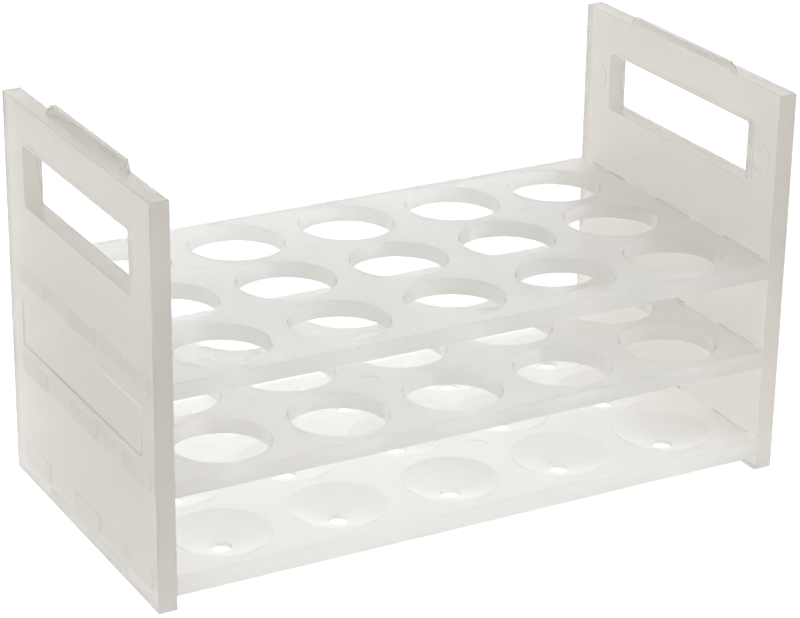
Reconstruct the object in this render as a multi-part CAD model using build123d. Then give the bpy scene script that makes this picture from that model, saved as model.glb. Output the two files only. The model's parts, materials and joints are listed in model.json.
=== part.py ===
from build123d import *
import os

# A stackable rack for 30 mm test tubes, pushed together from five polypropylene mouldings: two end panels and
# three shelves. Sizes are in millimetres. The origin is the middle of the footprint, at the level of the feet.
# +X runs along the rack, +Y across it and +Z up.

# Tube grid
columns = 5
rows = 3
pitch_x = 38.8
pitch_y = 35.0
hole_radius = 15.25

# Shelves
shelf_length = 201.0  # between the end panels' inner faces
shoulder_gap = 0.01  # play between each end of a shelf and the panel beside it
shelf_depth = 109.0
shelf_edge_round = 0.4
shelf_thickness = 5.5
top_shelf_height = 71.0  # of its upper face
middle_shelf_height = 41.0
hole_rim_round = 0.4

# Bottom shelf
base_thickness = 6.4
base_height = 10.8
well_radius = 15.4
well_depth = 5.1
well_rim_round = 0.4
drain_radius = 3.0
drain_rim_round = 0.3

# Tenons and their blind mortises, three to a shelf end
tenon_count = 3
tenon_pitch = 38.5
tenon_width = 18.5
tenon_length = 2.8
tenon_corner_round = 0.8
mortise_depth = 3.0
mortise_side_gap = 0.1
mortise_top_gap = 0.02
mortise_floor_gap = 0.02  # the shelf all but rests on the mortise's lower wall

# End panels
panel_thickness = 6.0
panel_height = 125.0
panel_edge_round = 0.35

hand_hole_width = 78.0
hand_hole_height = 19.0
hand_hole_middle = 102.5
hand_hole_corner = 0.8
hand_hole_rim_round = 0.25

# Blank label plate, sunk in the outer face between the upper two shelves
label_width = 90.5
label_height = 15.7
label_middle = 53.4
label_corner = 0.6
label_depth = 0.3

# Stacking tab on the panel's top edge, tapered, and the rebate under the panel that takes the next rack's tab
tab_height = 2.8
tab_base_width = 56.8
tab_top_width = 53.0
tab_base_thickness = 2.7
tab_top_thickness = 1.6
tab_root = 0.5  # how far the tab's taper is carried down into the panel
rebate_gap = 0.3

# Ejector pin marks, very shallow discs left by moulding
panel_pin_depth = 0.25
panel_pin_radius = 4.7
panel_pin_offset = 46.2
shelf_pin_depth = 0.15
shelf_pin_radius = 3.25

panel_inner_x = shelf_length / 2
panel_outer_x = panel_inner_x + panel_thickness
shelf_bottoms = [
    top_shelf_height - shelf_thickness,
    middle_shelf_height - shelf_thickness,
    base_height - base_thickness,
]
shelf_thicknesses = [shelf_thickness, shelf_thickness, base_thickness]
on_base = (Align.CENTER, Align.CENTER, Align.MIN)


def upright(outline, start_x, length):
    """A prism along +X, from an outline whose own x and y lie along the rack's Y and Z."""
    return extrude(Plane.YZ.offset(start_x) * outline, length)


def plain_shelf(thickness):
    """A shelf blank with its upper face at z = 0, its long edges rounded, and tenons on both ends."""
    length = shelf_length - 2 * shoulder_gap
    slab = Box(length, shelf_depth, thickness, align=(Align.CENTER, Align.CENTER, Align.MAX))
    slab = fillet(slab.edges().filter_by(Axis.X), shelf_edge_round)
    reach = shelf_length + 2 * tenon_length
    tongue = Box(reach, tenon_width, thickness, align=(Align.CENTER, Align.CENTER, Align.MAX))
    tongue = fillet(tongue.edges().filter_by(Axis.Z), tenon_corner_round)
    for place in GridLocations(0, tenon_pitch, 1, tenon_count):
        slab += place * tongue
    mark = Pos(0, 0, -shelf_pin_depth) * Cylinder(shelf_pin_radius, shelf_pin_depth, align=on_base)
    for place in GridLocations(pitch_x, pitch_y, columns - 1, rows - 1):
        slab -= place * mark
    return slab


def rims(shelf, radius):
    """The circular edges of a given radius."""
    return [e for e in shelf.edges().filter_by(GeomType.CIRCLE) if abs(e.radius - radius) < 1e-4]


def tube_shelf():
    """A shelf with a grid of round tube holes, rounded at both rims."""
    shelf = plain_shelf(shelf_thickness)
    drill = Cylinder(hole_radius, 3 * shelf_thickness)
    for place in GridLocations(pitch_x, pitch_y, columns, rows):
        shelf -= place * drill
    return fillet(rims(shelf, hole_radius), hole_rim_round)


def base_shelf():
    """A solid shelf with a dished well under each tube hole, and a drain hole in each well."""
    shelf = plain_shelf(base_thickness)
    dish_radius = (well_radius**2 + well_depth**2) / (2 * well_depth)
    dish = Pos(0, 0, dish_radius - well_depth) * Sphere(dish_radius)
    drain = Cylinder(drain_radius, 3 * base_thickness)
    for place in GridLocations(pitch_x, pitch_y, columns, rows):
        shelf -= place * dish
        shelf -= place * drain
    shelf = fillet(rims(shelf, well_radius), well_rim_round)
    return fillet(rims(shelf, drain_radius), drain_rim_round)


def mortise(bottom, thickness):
    """The three blind pockets that take one shelf's tenons, cut into the right panel's inner face."""
    width = tenon_width + 2 * mortise_side_gap
    height = mortise_floor_gap + thickness + mortise_top_gap
    pocket = Box(2 * mortise_depth, width, height, align=on_base)
    pocket = fillet(pocket.edges().filter_by(Axis.X), mortise_side_gap)
    return [
        Pos(panel_inner_x, 0, bottom - mortise_floor_gap) * place * pocket
        for place in GridLocations(0, tenon_pitch, 1, tenon_count)
    ]


def stacking_tab():
    """The tapered tab on the right panel's top edge, flush with the inner face."""
    def section(thickness, width, z):
        middle_x = panel_inner_x + thickness / 2
        return Pos(middle_x, 0, z) * Rectangle(thickness, width)

    top = section(tab_top_thickness, tab_top_width, panel_height + tab_height)
    base = section(tab_base_thickness, tab_base_width, panel_height)
    root = Pos(0, 0, -tab_root) * base
    return extrude(root, tab_root) + loft([base, top])


def end_panel():
    """The right end panel: its inner face looks along -X."""
    panel = Pos(panel_inner_x + panel_thickness / 2, 0, 0) * Box(
        panel_thickness, shelf_depth, panel_height, align=on_base
    )
    panel = fillet(panel.edges(), panel_edge_round)

    grip = Pos(0, hand_hole_middle) * RectangleRounded(hand_hole_width, hand_hole_height, hand_hole_corner)
    panel -= upright(grip, panel_inner_x - panel_thickness, 3 * panel_thickness)
    panel_rims = [
        edge
        for face in (panel.faces().sort_by(Axis.X)[0], panel.faces().sort_by(Axis.X)[-1])
        for wire in face.inner_wires()
        for edge in wire.edges()
    ]
    panel = fillet(panel_rims, hand_hole_rim_round)

    label = Pos(0, label_middle) * RectangleRounded(label_width, label_height, label_corner)
    panel -= upright(label, panel_outer_x - label_depth, 2 * label_depth)

    for bottom, thickness in zip(shelf_bottoms, shelf_thicknesses):
        for pocket in mortise(bottom, thickness):
            panel -= pocket

    panel += stacking_tab()
    rebate = Box(
        2 * (tab_base_thickness + rebate_gap),
        tab_base_width + 2 * rebate_gap,
        2 * (tab_height + rebate_gap),
    )
    panel -= Pos(panel_inner_x, 0, 0) * rebate

    mark = Rot(0, 90, 0) * Cylinder(panel_pin_radius, 2 * panel_pin_depth)
    for side in (-1, 1):
        panel -= Pos(panel_inner_x, side * panel_pin_offset, hand_hole_middle) * mark
    return panel


right_end_panel = end_panel()
parts = {
    "left_end_panel": Rot(0, 0, 180) * right_end_panel,
    "right_end_panel": right_end_panel,
    "top_shelf": Pos(0, 0, top_shelf_height) * tube_shelf(),
    "middle_shelf": Pos(0, 0, middle_shelf_height) * tube_shelf(),
    "bottom_shelf": Pos(0, 0, base_height) * base_shelf(),
}

os.makedirs("parts", exist_ok=True)
for name, solid in parts.items():
    export_step(solid, f"parts/{name}.step")
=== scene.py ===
import bpy
import json
import math
from mathutils import Matrix, Vector


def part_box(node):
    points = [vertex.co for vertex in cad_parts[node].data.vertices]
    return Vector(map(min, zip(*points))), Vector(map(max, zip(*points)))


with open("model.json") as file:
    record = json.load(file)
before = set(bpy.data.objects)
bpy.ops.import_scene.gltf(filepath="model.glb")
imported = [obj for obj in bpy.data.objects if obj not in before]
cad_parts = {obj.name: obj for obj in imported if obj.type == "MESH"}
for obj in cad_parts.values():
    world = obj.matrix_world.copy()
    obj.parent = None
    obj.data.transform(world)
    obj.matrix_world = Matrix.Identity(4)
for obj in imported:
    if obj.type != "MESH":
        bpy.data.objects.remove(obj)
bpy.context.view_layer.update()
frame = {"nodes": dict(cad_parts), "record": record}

# A stackable test tube rack of natural polypropylene, on a bright white sweep. Metres, the CAD frame.
scene = bpy.context.scene
MM = 0.001
AXIS_X = 0
AXIS_Y = 1
AXIS_Z = 2

# Driving sizes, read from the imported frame
panel_low, panel_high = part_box("right_end_panel")
shelf_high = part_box("top_shelf")[1]
tube_places = [m for m in frame["record"]["mounts"] if m["name"].startswith("tube_place")]
columns = sorted({place["pos_m"][0] for place in tube_places})
rows = sorted({place["pos_m"][1] for place in tube_places})
pitch_x = columns[1] - columns[0]
pitch_y = rows[1] - rows[0]
hole_radius = tube_places[0]["dims"]["r_mm"] * MM


# ---- node helpers --------------------------------------------------------------------------------
def plug(tree, socket, value):
    """Link a socket to another one, or give it a constant."""
    if isinstance(value, bpy.types.NodeSocket):
        tree.links.new(value, socket)
    else:
        socket.default_value = value


def add(tree, kind, inputs=(), **settings):
    """A new node, with its settings and its named inputs."""
    made = tree.nodes.new(kind)
    for key, value in settings.items():
        setattr(made, key, value)
    for key, value in dict(inputs).items():
        plug(tree, made.inputs[key], value)
    return made


def calc(tree, operation, *values):
    return add(tree, "ShaderNodeMath", enumerate(values), operation=operation).outputs[0]


def smooth(tree, value, start, end, low=0.0, high=1.0):
    """A soft step: low below start, high above end."""
    ranges = {"Value": value, "From Min": start, "From Max": end, "To Min": low, "To Max": high}
    return add(tree, "ShaderNodeMapRange", ranges, interpolation_type="SMOOTHSTEP").outputs["Result"]


def noise(tree, place, scale, detail, roughness=0.5):
    """Noise of about 0.5 in the mean, with features 1 / scale metres across."""
    inputs = {"Vector": place, "Scale": scale, "Detail": detail, "Roughness": roughness}
    return add(tree, "ShaderNodeTexNoise", inputs).outputs[0]


def blend(tree, amount, first, second):
    """A colour between two others."""
    mix = add(tree, "ShaderNodeMix", {0: amount, 6: first, 7: second}, data_type="RGBA")
    return mix.outputs[2]


def bump(tree, height, strength, depth, under=None, **settings):
    """A surface that rises with height, by up to the given depth, laid over another one."""
    inputs = {"Height": height, "Strength": strength, "Distance": depth}
    if under is not None:
        inputs["Normal"] = under
    return add(tree, "ShaderNodeBump", inputs, **settings).outputs[0]


def scratches(tree, place, axis, turn, patch_scale):
    """Thin straight scratches on patches of a face whose normal is the given axis."""
    across_scale = 1900.0
    along_scale = 28.0
    rotation = [0.0, 0.0, 0.0]
    rotation[axis] = math.radians(turn)
    stretch = [across_scale, across_scale, across_scale]
    stretch[AXIS_Y] = along_scale
    turned = add(tree, "ShaderNodeMapping", {"Vector": place, "Rotation": rotation}).outputs[0]
    drawn = add(tree, "ShaderNodeMapping", {"Vector": turned, "Scale": stretch}).outputs[0]
    lines = smooth(tree, noise(tree, drawn, 1.0, 1.0), 0.66, 0.74)
    patches = smooth(tree, noise(tree, turned, patch_scale, 1.0), 0.5, 0.68)
    return calc(tree, "MULTIPLY", lines, patches)


def near_edge(tree, coordinate, edge, reach):
    """1 at a flat edge at plus and minus the given distance from the middle, fading out over the reach."""
    return smooth(tree, calc(tree, "ABSOLUTE", coordinate), edge - reach, edge)


# ---- plastic -------------------------------------------------------------------------------------
# How many features each pattern has in a metre
CLOUDS = 22.0  # where the melt flowed
RIPPLES = 95.0  # sinks and waves
RUBS = 700.0  # breaks in the rubbed edges
GRAIN = 2600.0  # the mould's texture

RUBBED_TONE = (0.97, 0.965, 0.95, 1)
PLASTIC_IOR = 1.49
SEE_THROUGH = 0.88  # the rest is lit as a plain surface
FORWARD_SCATTER = 0.7


def moulded_plastic(name, tones, satin, haze, absorption, wear_of, scratch_axis):
    """
    Natural polypropylene: clear enough to show shapes behind it, with a fine haze in its depth.
    tones are the surface's two colours, and satin its least and most roughness.
    haze is how often light is scattered in a metre of it.
    absorption is how much of each colour that metre swallows.
    wear_of(tree, place) gives a mask of where the moulding has been rubbed.
    scratch_axis is the normal of the faces that carry scratches.
    """
    material = bpy.data.materials.new(name)
    material.use_nodes = True
    tree = material.node_tree
    shader = tree.nodes["Principled BSDF"]
    output = tree.nodes["Material Output"]
    place = add(tree, "ShaderNodeTexCoord").outputs["Object"]

    cloud = noise(tree, place, CLOUDS, 3.0, 0.55)
    grain = noise(tree, place, GRAIN, 2.0, 0.6)
    ripple = noise(tree, place, RIPPLES, 1.0)
    scuffs = calc(
        tree, "MAXIMUM",
        scratches(tree, place, scratch_axis, 24.0, 30.0),
        scratches(tree, place, scratch_axis, -57.0, 24.0),
    )
    wear = wear_of(tree, place)

    body = blend(tree, smooth(tree, cloud, 0.3, 0.7), tones[0], tones[1])
    breaks = smooth(tree, noise(tree, place, RUBS, 3.0), 0.35, 0.65, 0.15, 0.6)
    rubbed = calc(tree, "MULTIPLY", wear, breaks)
    plug(tree, shader.inputs["Base Color"], blend(tree, rubbed, body, RUBBED_TONE))

    roughness = smooth(tree, cloud, 0.35, 0.65, satin[0], satin[1])
    roughness = calc(tree, "ADD", roughness, calc(tree, "MULTIPLY", scuffs, 0.05))
    roughness = calc(tree, "ADD", roughness, calc(tree, "MULTIPLY", wear, 0.1))
    roughness = calc(tree, "MULTIPLY_ADD", grain, 0.03, roughness)
    plug(tree, shader.inputs["Roughness"], roughness)

    rippled = bump(tree, ripple, 0.5, 0.04 * MM)
    grained = bump(tree, grain, 0.3, 0.01 * MM, rippled)
    scratched = bump(tree, scuffs, 0.2, 0.004 * MM, grained, invert=True)
    plug(tree, shader.inputs["Normal"], scratched)

    shader.inputs["IOR"].default_value = PLASTIC_IOR
    shader.inputs["Transmission Weight"].default_value = SEE_THROUGH
    kept = [1 - share / haze for share in absorption]
    depth = add(
        tree, "ShaderNodeVolumePrincipled",
        {"Color": (*kept, 1), "Density": haze, "Anisotropy": FORWARD_SCATTER},
    )
    plug(tree, output.inputs["Volume"], depth.outputs[0])
    return material


def panel_wear(tree, place):
    """The end panels are rubbed along their outer edges and where they stand."""
    axes = add(tree, "ShaderNodeSeparateXYZ", {"Vector": place}).outputs
    sides = near_edge(tree, axes["Y"], panel_high[1], 1.1 * MM)
    feet = smooth(tree, axes["Z"], panel_low[2], 1.6 * MM, 1.0, 0.0)
    return calc(tree, "MAXIMUM", sides, feet)


def shelf_wear(tree, place):
    """The shelves are rubbed by tubes at the holes' rims, and along their long edges."""
    axes = add(tree, "ShaderNodeSeparateXYZ", {"Vector": place}).outputs
    across = calc(tree, "PINGPONG", axes["X"], pitch_x / 2)
    along = calc(tree, "PINGPONG", axes["Y"], pitch_y / 2)
    squares = calc(tree, "ADD", calc(tree, "POWER", across, 2.0), calc(tree, "POWER", along, 2.0))
    off_rim = calc(tree, "ABSOLUTE", calc(tree, "SUBTRACT", calc(tree, "SQRT", squares), hole_radius))
    rims = smooth(tree, off_rim, 0.2 * MM, 1.0 * MM, 1.0, 0.0)
    edges = near_edge(tree, axes["Y"], shelf_high[1], 0.9 * MM)
    return calc(tree, "MAXIMUM", rims, edges)


panel_plastic = moulded_plastic(
    "panel_plastic",
    tones=((0.945, 0.918, 0.875, 1), (0.955, 0.932, 0.895, 1)),
    satin=(0.17, 0.22),
    haze=290.0,
    absorption=(5.8, 6.8, 8.3),
    wear_of=panel_wear,
    scratch_axis=AXIS_X,
)
shelf_plastic = moulded_plastic(
    "shelf_plastic",
    tones=((0.98, 0.975, 0.965, 1), (0.985, 0.982, 0.974, 1)),
    satin=(0.28, 0.33),
    haze=260.0,
    absorption=(1.3, 1.5, 2.4),
    wear_of=shelf_wear,
    scratch_axis=AXIS_Z,
)
for name, node in frame["nodes"].items():
    for slot in node.material_slots:
        slot.link = "OBJECT"
        slot.material = panel_plastic if name.endswith("panel") else shelf_plastic


# ---- stage ---------------------------------------------------------------------------------------
WHITE = (1, 1, 1, 1)


# Mask for the painted shade cut into the floor's glow under the end panels
def under_feet(tree, place):
    """1 where an end panel stands on the floor, and 0 elsewhere."""
    axes = add(tree, "ShaderNodeSeparateXYZ", {"Vector": place}).outputs
    from_middle = calc(tree, "ABSOLUTE", axes["X"])
    inner = smooth(tree, from_middle, panel_low[0] - 0.5 * MM, panel_low[0])
    outer = smooth(tree, from_middle, panel_high[0] - 0.6 * MM, panel_high[0] - 0.1 * MM, 1.0, 0.0)
    reach_y = panel_high[1]
    ends = smooth(tree, calc(tree, "ABSOLUTE", axes["Y"]), reach_y - 0.6 * MM, reach_y - 0.1 * MM, 1.0, 0.0)
    return calc(tree, "MULTIPLY", calc(tree, "MULTIPLY", inner, outer), ends)


def white_floor(reach, middle, bright_radius, dim_radius, bright, dim, painted_foot_shade):
    """
    A white sweep lit from below, brightest in a wide pool round the rack and fading to a pale grey.
    The foot shade argument is painted shade: how much of the floor's glow is cut under the end panels where
    they stand, as a painted contact shadow.
    """
    mesh = bpy.data.meshes.new("floor")
    corners = [(-reach, -reach, 0), (reach, -reach, 0), (reach, reach, 0), (-reach, reach, 0)]
    mesh.from_pydata(corners, [], [(0, 1, 2, 3)])
    floor = bpy.data.objects.new("floor", mesh)
    scene.collection.objects.link(floor)
    material = bpy.data.materials.new("white_sweep")
    material.use_nodes = True
    tree = material.node_tree
    shader = tree.nodes["Principled BSDF"]
    place = add(tree, "ShaderNodeTexCoord").outputs["Object"]
    away = add(tree, "ShaderNodeVectorMath", {0: place, 1: (*middle, 0)}, operation="DISTANCE")
    fade = smooth(tree, away.outputs["Value"], bright_radius, dim_radius, bright, dim)
    mottle = smooth(tree, noise(tree, place, 9.0, 4.0), 0.3, 0.7, 0.985, 1.015)
    # painted shade: the floor's glow is dimmed where the end panels stand, as a painted contact shadow
    left_after_painted_shade = calc(tree, "MULTIPLY_ADD", under_feet(tree, place), -painted_foot_shade, 1.0)
    glow = calc(tree, "MULTIPLY", calc(tree, "MULTIPLY", fade, mottle), left_after_painted_shade)
    plug(tree, shader.inputs["Emission Strength"], glow)
    shader.inputs["Emission Color"].default_value = WHITE
    shader.inputs["Base Color"].default_value = (0.1, 0.1, 0.1, 1)
    shader.inputs["Roughness"].default_value = 0.9
    shader.inputs["Specular IOR Level"].default_value = 0.0
    mesh.materials.append(material)


def soft_studio(brightest_from, low, high):
    """Soft light from all round, brightest from the given direction and dimmest from opposite it."""
    world = bpy.data.worlds.new("studio")
    scene.world = world
    world.use_nodes = True
    tree = world.node_tree
    direction = add(tree, "ShaderNodeTexCoord").outputs["Generated"]
    facing = add(
        tree, "ShaderNodeVectorMath",
        {0: direction, 1: Vector(brightest_from).normalized()},
        operation="DOT_PRODUCT",
    )
    strength = smooth(tree, facing.outputs["Value"], -1.0, 1.0, low, high)
    background = tree.nodes["Background"]
    background.inputs["Color"].default_value = WHITE
    plug(tree, background.inputs["Strength"], strength)


white_floor(
    reach=6.0,
    middle=(0.1, 0.18),
    bright_radius=0.31,
    dim_radius=0.58,
    bright=1.1,
    dim=0.5,
    # painted contact shadow under the end panels
    painted_foot_shade=0.5,
)
soft_studio(brightest_from=(0.9, 0.45, 0.15), low=0.0, high=1.15)


# ---- camera --------------------------------------------------------------------------------------
def look(aim, distance, azimuth, elevation, roll, lens):
    """Azimuth is the way the camera looks, turned from +Y towards +X. Elevation is how far down it looks."""
    turn = (
        Matrix.Rotation(math.radians(-azimuth), 4, "Z")
        @ Matrix.Rotation(math.radians(90 - elevation), 4, "X")
        @ Matrix.Rotation(math.radians(roll), 4, "Z")
    )
    camera = bpy.data.objects.new("camera", bpy.data.cameras.new("camera"))
    backward = turn @ Vector((0, 0, distance))
    camera.matrix_world = Matrix.Translation(Vector(aim) + backward) @ turn
    camera.data.sensor_width = 36
    camera.data.lens = lens
    camera.data.clip_start = 0.01
    camera.data.clip_end = 50
    scene.collection.objects.link(camera)
    scene.camera = camera


look(
    aim=(-0.0012, -0.0034, 0.0556),
    distance=0.8519,
    azimuth=28.905,
    elevation=22.668,
    roll=0.824,
    lens=123.98,
)

scene.view_settings.view_transform = "Standard"

# Light is scattered many times inside the plastic before it comes out
scene.cycles.max_bounces = 96
scene.cycles.volume_bounces = 48
scene.cycles.transmission_bounces = 48
scene.cycles.diffuse_bounces = 6
scene.cycles.glossy_bounces = 16
scene.cycles.blur_glossy = 0.0  # its blur would swallow the light that is scattered inside the plastic
